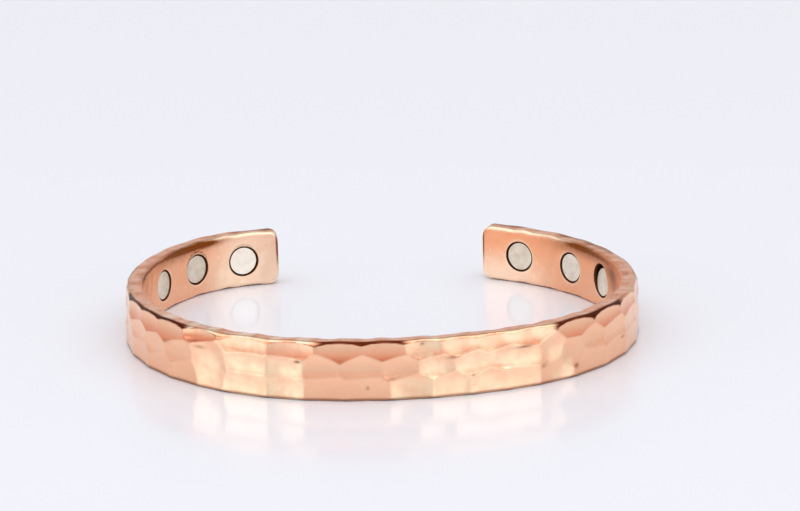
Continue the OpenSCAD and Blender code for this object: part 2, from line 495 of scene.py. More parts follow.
@dataclass(frozen=True)
class Hammer:
    """Where the blows fall: the charted ones on the front, then more at a regular pitch out to the tips."""

    pitch: float = 5.8
    stray: float = 0.14
    step: float = 137.0
    row_step: float = 61.0
    phases: tuple[float, ...] = (0, 70, 155, 240)
    # How much the arms' blows differ in rise, length, tall, depth and turn, and the phase that each follows
    changes: tuple[tuple[float, int], ...] = ((0.35, 1), (0.9, 2), (0.5, 3), (0.03, 0), (14, 2))

    def blows(self, outline: Outline) -> list[Blow]:
        """All the blows of the band: the charted ones, then those of the arms."""
        blows = list(FRONT_BLOWS)
        for number, row in enumerate(Row):
            front = [blow.place for blow in FRONT_BLOWS if blow.row is row]
            for arm, start in ((Arm.LEFT, min(front)), (Arm.RIGHT, max(front))):
                room = outline.length(arm) - abs(start)
                for i in range(1, int(room / self.pitch) + 1):
                    turn = self.step * arm.value * i + self.row_step * number
                    vary = [math.sin(math.radians(turn + phase)) for phase in self.phases]
                    place = start + arm.value * i * self.pitch + self.stray * self.pitch * vary[0]
                    blows.append(Blow(place, row, *(size * vary[wave] for size, wave in self.changes)))
        return blows

    def chart(self, outline: Outline) -> bpy.types.Object:
        """Makes a cloud of points, one for each blow, that the hammering tree reads."""
        blows = self.blows(outline)
        spots, bowls = np.array([blow.columns() for blow in blows]).transpose(1, 0, 2)
        return new_mesh("blows", spots[:, [0, 2, 1]] * (1, 0, 1), [], {
            "spot": spots, "bowl": bowls, "flat": [blow.row.value.flat for blow in blows]})


# Brown stains on the inside: length along, height over the middle, reach, how tall, strength
STAINS = (
    (-71.5, 3.50, 6.5, 0.45, 1.0), (-75.5, 3.35, 3.0, 0.45, 0.6), (-69.0, 2.9, 8.0, 0.8, 0.3),
    (-58.0, 3.60, 7.0, 0.22, 0.7), (-53.0, 3.4, 3.0, 0.5, 0.4), (-55.5, 1.8, 1.5, 1.5, 0.15),
    (69.5, 3.50, 3.5, 0.36, 1.0), (72.0, 2.9, 5.0, 0.8, 0.35), (63.0, 3.3, 3.0, 0.3, 0.6),
    (66.0, 3.0, 3.5, 0.9, 0.3), (59.5, 2.4, 3.2, 1.3, 0.45), (57.5, 0.6, 2.6, 2.2, 0.4),
)
# Dark specks in the front, small pits that the hammer left: length along, height, reach, how tall, strength
SPECKS = (
    (-31.5, 4.9, 0.8, 0.3, 0.35), (-24.6, 5.45, 0.9, 0.22, 0.5), (-9.9, 5.15, 0.42, 0.2, 0.95),
    (-0.8, 1.7, 0.2, 0.26, 0.6), (6.4, 7.25, 0.28, 0.18, 0.7), (10.4, 5.3, 0.8, 0.22, 0.7),
    (13.0, 2.7, 0.28, 0.2, 0.7), (20.3, 5.55, 1.1, 0.16, 0.9), (23.0, 2.5, 0.5, 0.3, 0.5),
    (28.4, 1.5, 0.42, 0.3, 0.85), (39.3, 2.7, 0.5, 0.2, 0.7), (41.0, 2.25, 0.4, 0.16, 0.7),
)
# Painted highlights on the front, pale cream patches standing in for bright reflections: start and end along
# it, foot, top, strength
PAINTED_HIGHLIGHTS = (
    (-25.3, -14.0, -1.0, 5.4, 1.0), (-14.2, -9.2, -1.0, 5.4, 1.35), (-27.0, -21.5, 6.9, 8.4, 0.6),
    (-20.6, -14.2, 5.0, 8.4, 1.0), (-14.2, -8.0, 6.9, 8.4, 0.5), (2.4, 8.0, -1.0, 2.8, 1.25),
    (8.0, 17.3, -1.0, 2.8, 1.0), (17.3, 22.4, -1.0, 3.0, 0.7), (24.5, 27.8, -1.0, 2.8, 0.9),
    (6.1, 10.6, 2.7, 5.2, 1.15), (10.6, 22.3, 2.7, 5.8, 1.0), (42.5, 47.5, -1.0, 8.4, 0.5),
    (-46.5, -42.5, -1.0, 8.4, 0.4), (23.8, 26.3, 2.7, 5.8, 0.9), (4.4, 9.0, 5.3, 8.4, 1.1),
    (9.0, 25.3, 5.6, 8.4, 1.0),
)
# Where the line under the upper rim is brown, partly oxide and partly painted shade: start and end along the
# front
BROWN_LINES = ((-46.0, -27.0), (-7.3, 4.3), (25.0, 39.5))


class Wear:
    """How stained, tarnished and pitted each point of the band is, and how much painted light and shade it
    takes, from 0 up.
    """

    halo_r: float = 2.42

    def __init__(self, strip: Strip, place: np.ndarray) -> None:
        """Takes the strip, and its points as rows of length, distance out and height over the middle."""
        self.strip = strip
        self.s, self.out, self.up = place
        self.high = self.up + strip.height / 2
        self.from_tip = strip.outline.from_tip(self.s)
        self.inside = smooth_step(1.6, 2.5, -self.out)

    def spots(self, table: tuple[tuple[float, ...], ...], height: np.ndarray) -> np.ndarray:
        """Adds up the round soft spots of a table."""
        return sum(strength * np.exp(-((self.s - at) / reach) ** 2 - ((height - middle) / tall) ** 2)
                   for at, middle, reach, tall, strength in table)

    def around(self, seat: MagnetSeat) -> tuple[np.ndarray, np.ndarray]:
        """The distance from a magnet's middle, and the height over it."""
        centre, rise, _ = self.strip.seat(seat)
        return np.hypot(self.s - centre, self.up - rise), self.up - rise

    def patina(self) -> np.ndarray:
        """Brown stains inside near the upper rim, and dull edges that the buff didn't reach."""
        total = self.spots(STAINS, self.up)
        total += 0.9 * smooth_step(0.5, 0.15, self.from_tip) * smooth_step(-2.5, 1.5, self.up)
        # A thin dark line round the upper side of the first two pockets of the left arm.
        for seat, radius, strength in ((SEATS[0], self.halo_r, 0.35), (SEATS[1], self.halo_r + 0.1, 0.6)):
            far, over = self.around(seat)
            total += strength * np.exp(-((far - radius) / 0.09) ** 2) * smooth_step(0.2, 1.4, over)
        # The far edge of the upper rim has gone dull near both ends and over part of the right arm.
        dull = np.maximum(smooth_step(8, 6, self.from_tip), window(63, 76, 1, self.s))
        dull *= smooth_step(3.3, 3.7, self.up) * smooth_step(-1.9, -0.9, self.out)
        return np.clip(total * self.inside + 0.5 * dull, 0, 1)

    def rubbed(self) -> np.ndarray:
        """Painted light: pale painted reflections low inside both arms and near the left tip, and painted
        highlights along the upper inner edge near the tips, round each pocket and on the left rim.
        """
        from_left = self.s + self.strip.outline.length(Arm.LEFT)
        # Painted reflection of the bright floor, low inside near the tips
        low = smooth_step(16, 4, self.from_tip) * smooth_step(1.8, -3.2, self.up)
        low += 0.9 * smooth_step(15, 6, from_left)
        # Painted highlight along the upper inner edge near the tips
        low += 0.9 * smooth_step(20, 15, self.from_tip) * smooth_step(3.42, 3.55, self.up)
        # Painted highlight in a thin ring round each pocket
        lines = sum(0.6 * np.exp(-((self.around(seat)[0] - self.halo_r) / 0.14) ** 2) for seat in SEATS)
        # Painted glints on the left rim
        glints = smooth_step(3.5, 3.8, self.up) * smooth_step(-39, -34, self.s) * smooth_step(-6, -8, self.s)
        glints *= smooth_step(-0.2, 0.9, np.sin(1.35 * self.s + 0.6 + 0.8 * np.sin(0.5 * self.s)))
        return np.clip((low + lines) * self.inside + 0.8 * glints, 0, 1)

    def buffed(self) -> np.ndarray:
        """Painted highlights: pale cream patches on the front, standing in for bright reflections."""
        total = np.zeros_like(self.s)
        for start, end, foot, top, strength in PAINTED_HIGHLIGHTS:
            patch = strength * window(start, end, 0.5, self.s) * window(foot, top, 0.4, self.high)
            total = np.maximum(total, patch)
        return total * smooth_step(1.0, 0.7, -self.out)

    def tarnish(self) -> np.ndarray:
        """How brown the line is that the hammer did not strike under the upper rim: partly oxide and partly
        painted shade for the dark the shoulder reflects, worn off in places.
        """
        brown = 0.8 * smooth_step(46, 60, abs(self.s))
        for start, end in BROWN_LINES:
            brown = np.maximum(brown, window(start, end, 0.8, self.s))
        return 0.15 + 0.85 * brown

    def pits(self) -> np.ndarray:
        """Dark specks in the front."""
        return np.clip(self.spots(SPECKS, self.high) * smooth_step(1.2, 0.8, -self.out), 0, 1)

    def paints(self) -> dict[str, np.ndarray]:
        """All of these, under the names that the copper's material and the hammering tree read."""
        return {"patina": self.patina(), "rubbed": self.rubbed(), "pits": self.pits(),
                "tarnish": self.tarnish(), "buffed": self.buffed()}


@dataclass
class Band:
    """The copper band: one strip, bent, hammered in three rows and drilled for six magnets."""

    strip: Strip = Strip()
    hammer: Hammer = Hammer()
    spread: float = 0.11
    spread_reach: float = 1.9
    pocket_bevel: float = 0.12
    ridge: float = 0.055
    lip: float = 0.08
    crown: float = 0.16
    rim_wave: float = 0.055
    foot_wave: float = 0.1
    clear_of_pocket: float = 1.38
    clear_along: float = 1.14
    table_reach: float = 5.0
    table_steps: int = 801
    sharp_angle: float = 38.0

    def opening(self, seat: MagnetSeat, s: np.ndarray) -> tuple[int, int, int, int]:
        """The first and last cross-section, and the upper and lower row, of the cells round a pocket."""
        strip = self.strip
        centre, rise, _ = strip.seat(seat)
        wide = self.clear_of_pocket * strip.magnet_d / 2
        first, last = (int(np.argmin(abs(s - (centre + k * wide * self.clear_along)))) for k in (-1, 1))
        inside = strip.face_steps + strip.shoulder_steps + strip.rim_steps + strip.edge_steps
        rows = (strip.height / 2 - strip.inner_edge_r - (rise + np.array([wide, -wide]))) \
            / (strip.height - 2 * strip.inner_edge_r) * strip.inside_steps
        top, foot = (inside + int(round(row)) for row in rows)
        return first, last, top, foot

    def blank(self) -> bpy.types.Object:
        """Makes the strip with its pockets, before it is hammered.

        Returns:
            An object whose points know their place along the band, their height and their distance out.
        """
        strip, outline = self.strip, self.strip.outline
        s = strip.rings()
        sections = np.stack([strip.section(value) for value in s])
        corners = sections.shape[2]
        grid = np.stack([np.repeat(s, corners), sections[:, 0].ravel(), sections[:, 1].ravel()])
        shell = Shell()
        shell.add_points(grid)

        openings = [self.opening(seat, s) for seat in SEATS]
        closed = np.ones((len(s) - 1, corners), dtype=bool)
        for first, last, top, foot in openings:
            closed[first:last, top:foot] = False
        i, j = np.nonzero(closed)
        after = (j + 1) % corners
        quads = np.stack([i * corners + j, (i + 1) * corners + j, (i + 1) * corners + after,
                          i * corners + after], 1)
        shell.add_faces([tuple(quad) for quad in quads.tolist()])
        shell.add_faces([tuple(range(corners))[::-1], tuple(range(shell.count - corners, shell.count))])
        points = [outline.place(*grid)]
        points += [self.drill(shell, corners, cells, seat) for cells, seat in zip(openings, SEATS)]

        place = np.concatenate(shell.places, axis=1)
        heading = outline.outer_face(place[0])[2]
        outward = np.stack([np.sin(heading), -np.cos(heading), 0 * heading], axis=-1)
        xyz = np.concatenate(points) + outward * self.inside_wave(place)[:, None]
        xyz[:, 2] += self.rim_rise(place) + strip.height / 2
        along_band = np.stack([place[0], place[2] + strip.height / 2, place[1]], axis=-1)
        blank = new_mesh("blank", xyz, shell.faces, {"along_band": along_band, "outward": outward,
                                                     **Wear(strip, place).paints()})
        in_pocket = blank.data.attributes.new("pocket", "BOOLEAN", "FACE")
        in_pocket.data.foreach_set("value", shell.in_pocket)
        return blank

    def drill(self, shell: Shell, corners: int, cells: tuple[int, int, int, int],
              seat: MagnetSeat) -> np.ndarray:
        """Joins the round pocket of one magnet to the cells left open for it.

        Args:
            shell: the mesh in the making.
            corners: points in a cross-section.
            cells: the first and last cross-section, and the upper and lower row, of the open cells.
            seat: the magnet's seat.

        Returns:
            The new points, as x, y and height over the middle.
        """
        strip, outline = self.strip, self.strip.outline
        centre, rise, _ = strip.seat(seat)
        floor = strip.pocket_floor(seat)
        first, last, top, foot = cells
        edge = [(i, top) for i in range(first, last)] + [(last, j) for j in range(top, foot)] \
            + [(i, foot) for i in range(last, first, -1)] + [(first, j) for j in range(foot, top, -1)]
        loop = np.array([i * corners + j for i, j in edge])
        known = np.concatenate(shell.places, axis=1)
        edge_s, edge_up = known[0, loop], known[2, loop]

        # The flat frame of the pocket: across runs along the band, and deep goes into the wall.
        x, y, heading = outline.outer_face(np.array(centre))
        tangent = np.array([np.cos(heading), np.sin(heading)])
        outward = np.array([np.sin(heading), -np.cos(heading)])
        origin = np.array([x, y]) - strip.thickness * outward
        table = np.linspace(centre - self.table_reach, centre + self.table_reach, self.table_steps)
        spread = outline.place(table, -strip.thickness, 0)[:, :2] - origin
        across_table, deep_table = spread @ tangent, spread @ outward
        edge_across = np.interp(edge_s, table, across_table)
        angle = np.arctan2(edge_up - rise, edge_across)
        mouth = strip.pocket_mouth(seat, angle)
        points: list[np.ndarray] = []

        def ring(across: np.ndarray, up: np.ndarray, deep: np.ndarray | float | None) -> np.ndarray:
            """Adds points at a depth, or on the inside where it is None, and returns their numbers."""
            surface = np.interp(across, across_table, deep_table)
            deep = surface if deep is None else deep
            flat = origin + across[:, None] * tangent + (deep + 0 * across)[:, None] * outward
            points.append(np.column_stack([flat, up]))
            s = np.interp(across, across_table, table)
            number = shell.add_points(np.stack([s, deep - surface - strip.thickness, up]))
            return number + np.arange(len(across))

        previous = loop
        for share in (0.25, 0.5, 0.75, 0.9):
            r = mouth + self.pocket_bevel
            across = edge_across + share * (r * np.cos(angle) - edge_across)
            current = ring(across, edge_up + share * (rise + r * np.sin(angle) - edge_up), None)
            shell.bridge(previous, current)
            previous = current
        surface = np.interp(mouth * np.cos(angle), across_table, deep_table)
        start = surface + self.pocket_bevel
        steps = [(mouth + self.pocket_bevel, None),
                 (mouth + 0.3 * self.pocket_bevel, surface + 0.3 * self.pocket_bevel), (mouth, start)]
        steps += [(mouth, start + share * (floor - start)) for share in (0.3, 0.65, 1.0)]
        steps += [(mouth * share, floor) for share in (0.7, 0.35)]
        for number, (r, deep) in enumerate(steps):
            current = ring(r * np.cos(angle), rise + r * np.sin(angle), deep)
            shell.bridge(previous, current, number > 0)
            previous = current
        middle = int(ring(np.zeros(1), np.full(1, rise), np.full(1, floor))[0])
        shell.add_faces([(int(a), int(b), middle) for a, b in zip(previous, np.roll(previous, -1))], True)
        return np.concatenate(points)

    def rim_rise(self, place: np.ndarray) -> np.ndarray:
        """How far each point moves up: the rims run in small waves, the lower one only off the floor."""
        s, out, up = place
        wave = np.sin(1.09 * s + 1.3 * np.sin(0.23 * s)) + 0.4 * np.sin(2.17 * s + 0.8 + 0.7 * out)
        upper = smooth_step(2.6, 3.9, up) * wave * smooth_step(-0.6, -1.6, out)
        lower = smooth_step(-2.6, -3.9, up) * (wave + 1.4) * 0.5 * smooth_step(-0.2, -1.0, out) \
            * (0.2 + 0.8 * smooth_step(36, 56, abs(s)))
        spread = sum(np.exp(-((s - blow.place) / self.spread_reach) ** 2)
                     for blow in self.hammer.blows(self.strip.outline) if blow.row is Row.TOP)
        spread = self.spread * spread * smooth_step(2.0, 3.9, up) * smooth_step(-2.4, -0.7, out)
        return self.rim_wave * upper + self.foot_wave * lower + spread

    def inside_wave(self, place: np.ndarray) -> np.ndarray:
        """How far each point moves out: the blows show through on the inside as soft upright waves."""
        s, out, up = place
        wave = 0.022 * np.sin(1.02 * s + 0.5 * np.sin(0.31 * s)) * np.cos(0.32 * up + 0.21 * s)
        wave += 0.012 * np.sin(2.3 * s + 0.9 * up) + 0.008 * np.sin(0.83 * up * up + 1.7 * s)
        near = smooth_step(-0.5, 0.0, -self.strip.thickness - out + 0.5)
        return wave * near * smooth_step(3.4, 2.4, abs(up))

    def build(self, copper: bpy.types.Material, pocket: bpy.types.Material) -> bpy.types.Object:
        """Hammers the blank.

        Args:
            copper: the material of the band.
            pocket: the material of the drilled walls.

        Returns:
            The finished band, without modifiers.
        """
        blank = self.blank()
        blows = self.hammer.chart(self.strip.outline)
        piece = HammeringTree(self.strip.height).run(blank, "hammered_band", {
            "Blows": blows, "Ridge": self.ridge, "Lip": self.lip, "Crown": self.crown, "Copper": copper,
            "Pocket": pocket})
        bpy.data.objects.remove(blows)
        piece.data.shade_smooth()
        piece.data.set_sharp_from_angle(angle=math.radians(self.sharp_angle))
        return piece


class HammeringTree(Group):
    """Geometry Nodes that strike every charted blow into the outer face, one turn of a repeat zone each."""

    def __init__(self, height: float) -> None:
        """Adds the nodes: the repeat zone finds the deepest blow at each point, then the metal moves in."""
        super().__init__("hammering", {"Blows": "Object", "Ridge": "Float", "Lip": "Float", "Crown": "Float",
                                       "Copper": "Material", "Pocket": "Material"})
        self.height = height
        blows = self.geometry_of("Blows")
        count = self.add("GeometryNodeAttributeDomainSize", {"Geometry": blows}, component="MESH")
        opening = self.tree.nodes.new("GeometryNodeRepeatInput")
        closing = self.tree.nodes.new("GeometryNodeRepeatOutput")
        opening.pair_with_output(closing)
        self.tree.links.new(count.outputs["Point Count"], opening.inputs["Iterations"])
        self.tree.links.new(self.store(self.given["Geometry"], "dent", -1.0), opening.inputs["Geometry"])
        self.tree.links.new(self.strike(opening, blows), closing.inputs["Geometry"])
        dressed = self.dress(self.press(closing.outputs["Geometry"]), "Copper")
        dressed = self.dress(dressed, "Pocket", self.read("pocket", "BOOLEAN"))
        self.add("NodeGroupOutput", {"Geometry": self.realize(dressed)})

    def strike(self, opening: bpy.types.Node, blows: Socket) -> Socket:
        """One turn of the repeat zone: one blow's bowl, laid under the deepest so far.

        Args:
            opening: the repeat zone's input node.
            blows: the cloud of blows.

        Returns:
            The geometry with its dent so far.
        """
        spot, bowl, flat = [
            self.add("GeometryNodeSampleIndex", {"Geometry": blows, "Value": self.read(name, kind),
                                                 "Index": opening.outputs["Iteration"]},
                     data_type=kind, domain="POINT").outputs[0]
            for name, kind in (("spot", "FLOAT_VECTOR"), ("bowl", "FLOAT_VECTOR"), ("flat", "FLOAT"))]
        here = self.read("along_band", "FLOAT_VECTOR")
        far = self.add("ShaderNodeVectorMath", {0: here, 1: spot}, operation="SUBTRACT").outputs[0]
        along_bend, up_bend, turn = self.parts(bowl)
        level = self.add("ShaderNodeVectorRotate", {"Vector": far, "Angle": turn}, rotation_type="Z_AXIS")
        along, up, _ = self.parts(level.outputs[0])
        rise = self.maths("ADD", self.times(along, along, along_bend), self.times(up, up, up_bend))
        rise = self.maths("MULTIPLY_ADD", self.times(rise, flat), rise, rise)
        dent = self.maths("SUBTRACT", self.parts(spot)[2], rise)
        deepest = self.maths("SMOOTH_MAX", self.read("dent"), dent, self.given["Ridge"])
        return self.store(opening.outputs["Geometry"], "dent", deepest)

    def press(self, geometry: Socket) -> Socket:
        """Moves the metal in to the deepest dent, and falls the face away towards its rims.

        Args:
            geometry: the band with its dents worked out.

        Returns:
            The hammered band, which keeps where its edge was not struck and where its foot takes painted
            shade.
        """
        _, up, out = self.parts(self.read("along_band", "FLOAT_VECTOR"))
        level = self.times(self.read("dent"), -1.0)
        struck = self.maths("SUBTRACT", self.maths("SMOOTH_MIN", out, level, self.given["Lip"]), out)
        height = self.maths("DIVIDE", self.maths("SUBTRACT", up, self.height / 2), self.height / 2)
        upper = self.maths("MAXIMUM", height, 0.0)
        # 0 on the inside and 1 on the outer face
        outer = self.ramp(out, -1.9, -0.7, kind="SMOOTHSTEP")
        moved = self.maths("SUBTRACT", struck, self.times(upper, upper, outer, self.given["Crown"]))
        offset = self.add("ShaderNodeVectorMath", {0: self.read("outward", "FLOAT_VECTOR"),
                                                   "Scale": self.times(moved, MM)}, operation="SCALE")
        # The line under the upper rim that the hammer did not strike is brown, partly oxide and partly
        # painted shade for the dark the shoulder reflects. The thinner one along the foot is painted shade
        # where the band meets the floor.
        unstruck = self.ramp(self.maths("SUBTRACT", level, out), -0.13, -0.03, kind="SMOOTHSTEP")
        edge = self.times(unstruck, self.ramp(out, -0.7, -0.5, kind="SMOOTHSTEP"),
                          self.ramp(up, 6.8, 7.05, kind="SMOOTHSTEP"), self.read("tarnish"))
        # Painted shade along the foot, where the band meets the floor
        foot = self.times(self.ramp(up, 0.52, 0.22, kind="SMOOTHSTEP"), outer, 0.65)
        kept = self.store(geometry, "unstruck", self.maths("MAXIMUM", edge, foot))
        placed = self.add("GeometryNodeSetPosition", {"Geometry": kept, "Offset": offset.outputs[0]})
        return placed.outputs[0]


class SettingTree(Group):
    """Geometry Nodes that set one disc at the seat with a given number."""

    lots: float = 40.0

    def __init__(self) -> None:
        """Adds the nodes: the seat is picked, the disc set on it, and its lot and how brightly it is painted
        are kept.
        """
        super().__init__("magnet_setting", {"Disc": "Object", "Number": "Int", "Seed": "Int",
                                            "Shine": "Float", "Nickel": "Material"})
        given = self.given
        index = self.add("GeometryNodeInputIndex").outputs[0]
        others = self.add("FunctionNodeCompare", {2: index, 3: given["Number"]}, data_type="INT",
                          operation="NOT_EQUAL").outputs[0]
        seat = self.add("GeometryNodeDeleteGeometry", {"Geometry": given["Geometry"], "Selection": others},
                        domain="POINT").outputs[0]
        turned = self.add("FunctionNodeEulerToRotation", {0: self.read("facing", "FLOAT_VECTOR")}).outputs[0]
        set_in = self.add("GeometryNodeInstanceOnPoints", {
            "Points": seat, "Instance": self.geometry_of("Disc"), "Rotation": turned}).outputs[0]
        lot = self.add("FunctionNodeRandomValue", {2: 0.0, 3: self.lots, "ID": given["Number"],
                                                   "Seed": given["Seed"]}, data_type="FLOAT").outputs[1]
        kept = self.store(self.store(self.realize(set_in), "lot", lot), "shine", given["Shine"])
        self.add("NodeGroupOutput", {"Geometry": self.dress(kept, "Nickel")})


@dataclass
class Magnets:
    """Six disc magnets, nickel plated, each in its pocket on the inside of an arm."""

    strip: Strip
    bevel: float = 0.12
    dish: float = 0.012
    sides: int = 96
    seed: int = 5

    def disc(self) -> bpy.types.Object:
        """Turns the disc's profile round its axis, which goes into the wall along Z.

        Returns:
            The disc, whose points know their place on its face.
        """
        r, thick, bevel = self.strip.magnet_d / 2, self.strip.magnet_t, self.bevel
        arc = [(r - bevel + bevel * math.sin(a), bevel - bevel * math.cos(a))
               for a in np.radians((0, 22, 45, 68, 90))]
        profile = [(share * (r - bevel), self.dish * share ** 4) for share in (0.25, 0.5, 0.75, 0.9)] + arc
        profile += [(r, thick / 2)] + [(x, thick - y) for x, y in reversed(arc)] + [((r - bevel) / 2, thick)]
        angles = np.arange(self.sides) * 2 * math.pi / self.sides
        rings = np.array([[(x * math.cos(a), x * math.sin(a), y) for a in angles] for x, y in profile])
        points = np.concatenate([rings.reshape(-1, 3), [(0, 0, 0), (0, 0, thick)]])
        last, end = len(points) - 1, (len(profile) - 1) * self.sides
        faces = []
        for k in range(self.sides):
            after = (k + 1) % self.sides
            faces += [(last - 1, after, k), (last, end + k, end + after)]
            faces += [(i + k, i + after, i + self.sides + after, i + self.sides + k)
                      for i in range(0, end, self.sides)]
        disc = new_mesh("disc", points, faces, {"on_disc": points})
        disc.data.shade_smooth()
        return disc

    def points(self) -> bpy.types.Object:
        """Makes a point for each magnet in the middle of its face, with its heading."""
        rows, headings = [], []
        for seat in SEATS:
            s, rise, depth = self.strip.seat(seat)
            rows.append(self.strip.outline.place(np.array(s), depth - self.strip.thickness,
                                                 rise + self.strip.height / 2))
            heading = float(self.strip.outline.outer_face(np.array(s))[2])
            headings.append((math.pi / 2 + math.radians(seat.lean), 0.0, heading))
        return new_mesh("seats", np.array(rows), [], {"facing": headings})

    def build(self, nickel: bpy.types.Material) -> list[bpy.types.Object]:
        """Sets the six magnets, each as its own piece with the material of its plating."""
        disc, seats, setting = self.disc(), self.points(), SettingTree()
        pieces = []
        for number, seat in enumerate(SEATS):
            source = seats.copy()
            bpy.context.scene.collection.objects.link(source)
            pieces.append(setting.run(source, f"{seat.name}_disc", {
                "Disc": disc, "Number": number, "Seed": self.seed, "Shine": seat.shine, "Nickel": nickel}))
        for source in (disc, seats):
            bpy.data.objects.remove(source)
        return pieces


class Finish(Nodes):
    """A material in the making, with the patterns that the finishes share."""

    def __init__(self, name: str, metallic: float = 1.0) -> None:
        """Makes a material with a name, metal unless it says otherwise."""
        self.material = bpy.data.materials.new(name)
        self.material.use_nodes = True
        super().__init__(self.material.node_tree)
        self.surface = self.tree.nodes["Principled BSDF"]
        self.surface.inputs["Metallic"].default_value = metallic

    def note(self, name: str, output: str = "Fac") -> Socket:
        """What the points carry under a name."""
        return self.add("ShaderNodeAttribute", attribute_name=name).outputs[output]

    def noise(self, place: Socket, size_mm: float, detail: float) -> Socket:
        """A cloudy pattern of a size."""
        pattern = {"Vector": place, "Scale": 1 / size_mm, "Detail": detail}
        return self.add("ShaderNodeTexNoise", pattern).outputs[0]

    def mix(self, share: Socket, under: Linear | Socket, over: str) -> Socket:
        """Lays a share of a colour over another."""
        return self.add("ShaderNodeMix", {0: share, 6: under, 7: linear(over)}, data_type="RGBA").outputs[2]

    def relief(self, height: Socket, depth_mm: float) -> None:
        """Gives the surface a relief of a depth."""
        bump = self.add("ShaderNodeBump", {"Height": height, "Strength": 1.0, "Distance": depth_mm * MM})
        self.feed("Normal", bump.outputs[0])

    def feed(self, name: str, value: Socket) -> None:
        """Links a value to an input of the surface."""
        self.tree.links.new(value, self.surface.inputs[name])


@dataclass(frozen=True)
class HammeredCopper:
    """Solid copper struck with a polished hammer and polished on a buff: mirror-like hollows outside, satin
    inside. Part of its colour is painted light and shade.
    """

    polished: str = "#FEC9A5"
    warm: str = "#F9BB97"
    # Painted shade for slopes that face up
    painted_shade: str = "#E4825C"
    # Painted tint for faces that look straight up, standing in for the warmer light they show
    rim: str = "#F8AE88"
    blotch: str = "#A8654E"
    # Painted reflection: the orange of the copper that the inside faces
    orange: str = "#F49A62"
    # Pale painted light: painted reflections and highlights
    rubbed: str = "#FFE4C8"
    # Painted highlight colour of the cream patches on the front
    buffed: str = "#FFE6C0"
    patina: str = "#8A4A1E"
    # Brown of the line under the upper rim, partly oxide and partly painted shade, and painted shade along
    # the foot
    edge: str = "#571D07"
    pit: str = "#7A4230"
    outside_roughness: float = 0.16
    inside_roughness: float = 0.34
    mottle_mm: float = 5.0
    blotch_mm: float = 1.3
    cloud_mm: float = 2.2
    speckle_mm: float = 0.625
    haze_mm: float = 0.9
    ripple_mm: float = 2.4
    ripple_depth_mm: float = 0.06

    def make(self) -> bpy.types.Material:
        """Builds the material from patterns that follow the band."""
        finish = Finish("hammered_copper")
        place = finish.note("along_band", "Vector")
        along, up, out = finish.parts(place)
        inside = finish.ramp(out, -1.9, -2.45)
        lean = finish.parts(finish.add("ShaderNodeNewGeometry").outputs["Normal"])[2]
        # Faces that look straight up take a painted tint, standing in for the warmer light they show.
        top = finish.ramp(lean, 0.75, 0.95)

        # Colour: the copper warms in soft patches and browns where hands and the buff don't reach; painted
        # light and shade are laid over it.
        warm = finish.ramp(finish.noise(place, self.mottle_mm, 4.0), 0.4, 0.75, 0.0, 0.6)
        # Painted shade: slopes that face up are darker, standing in for the dim room they reflect.
        painted_shade = finish.times(finish.ramp(lean, 0.03, 0.2), finish.ramp(lean, 0.5, 0.8, 0.8, 0.0),
                              finish.ramp(up, 3.2, 4.8, 0.35, 1.0))
        blotched = finish.ramp(finish.noise(place, self.blotch_mm, 5.0), 0.45, 0.7, 0.0, 0.5)
        blotched = finish.times(blotched, top)
        # Painted reflection: the inside turns orange with the copper it faces, more so higher up and towards
        # the right arm.
        painted_orange_reflection = finish.times(finish.ramp(up, 1.0, 7.0, 0.2, 0.6), inside,
                            finish.ramp(along, -20.0, 20.0, 0.5, 0.95))
        clouds = finish.ramp(finish.noise(place, self.cloud_mm, 3.0), 0.38, 0.62, 0.15, 0.65)
        speckle = finish.maths("ADD", finish.noise(place, self.speckle_mm, 6.0), 0.9)
        stained = finish.ramp(finish.times(speckle, finish.note("patina")), 0.0, 1.0)
        skin = linear(self.polished)
        for share, colour in (
                (warm, self.warm), (painted_shade, self.painted_shade), (top, self.rim), (blotched, self.blotch),
                (painted_orange_reflection, self.orange), (finish.times(finish.note("buffed"), clouds), self.buffed),
                (finish.times(finish.note("rubbed"), 0.85), self.rubbed), (stained, self.patina),
                (finish.note("unstruck"), self.edge), (finish.note("pits"), self.pit)):
            skin = finish.mix(share, skin, colour)
        finish.feed("Base Color", skin)

        # Gloss: satin inside, polished outside, with a haze of handling. Relief: the hammer's own ripple.
        gloss = finish.ramp(inside, 0.0, 1.0, self.outside_roughness, self.inside_roughness)
        haze = finish.ramp(finish.noise(place, self.haze_mm, 5.0), 0.3, 0.7, 0.75, 1.3)
        finish.feed("Roughness", finish.times(gloss, haze))
        finish.relief(finish.noise(place, self.ripple_mm, 2.0), self.ripple_depth_mm)
        return finish.material


@dataclass(frozen=True)
class DrilledCopper:
    """The drilled wall of a pocket, coloured dark brown so that it reads as a dark line."""

    colour: str = "#7E4A2E"
    dark: str = "#3A2114"
    roughness: float = 0.55
    dirt_mm: float = 0.4

    def make(self) -> bpy.types.Material:
        """Builds the material."""
        finish = Finish("drilled_copper")
        dirt = finish.noise(finish.note("along_band", "Vector"), self.dirt_mm, 4.0)
        finish.feed("Base Color", finish.mix(dirt, linear(self.colour), self.dark))
        finish.surface.inputs["Roughness"].default_value = self.roughness
        return finish.material


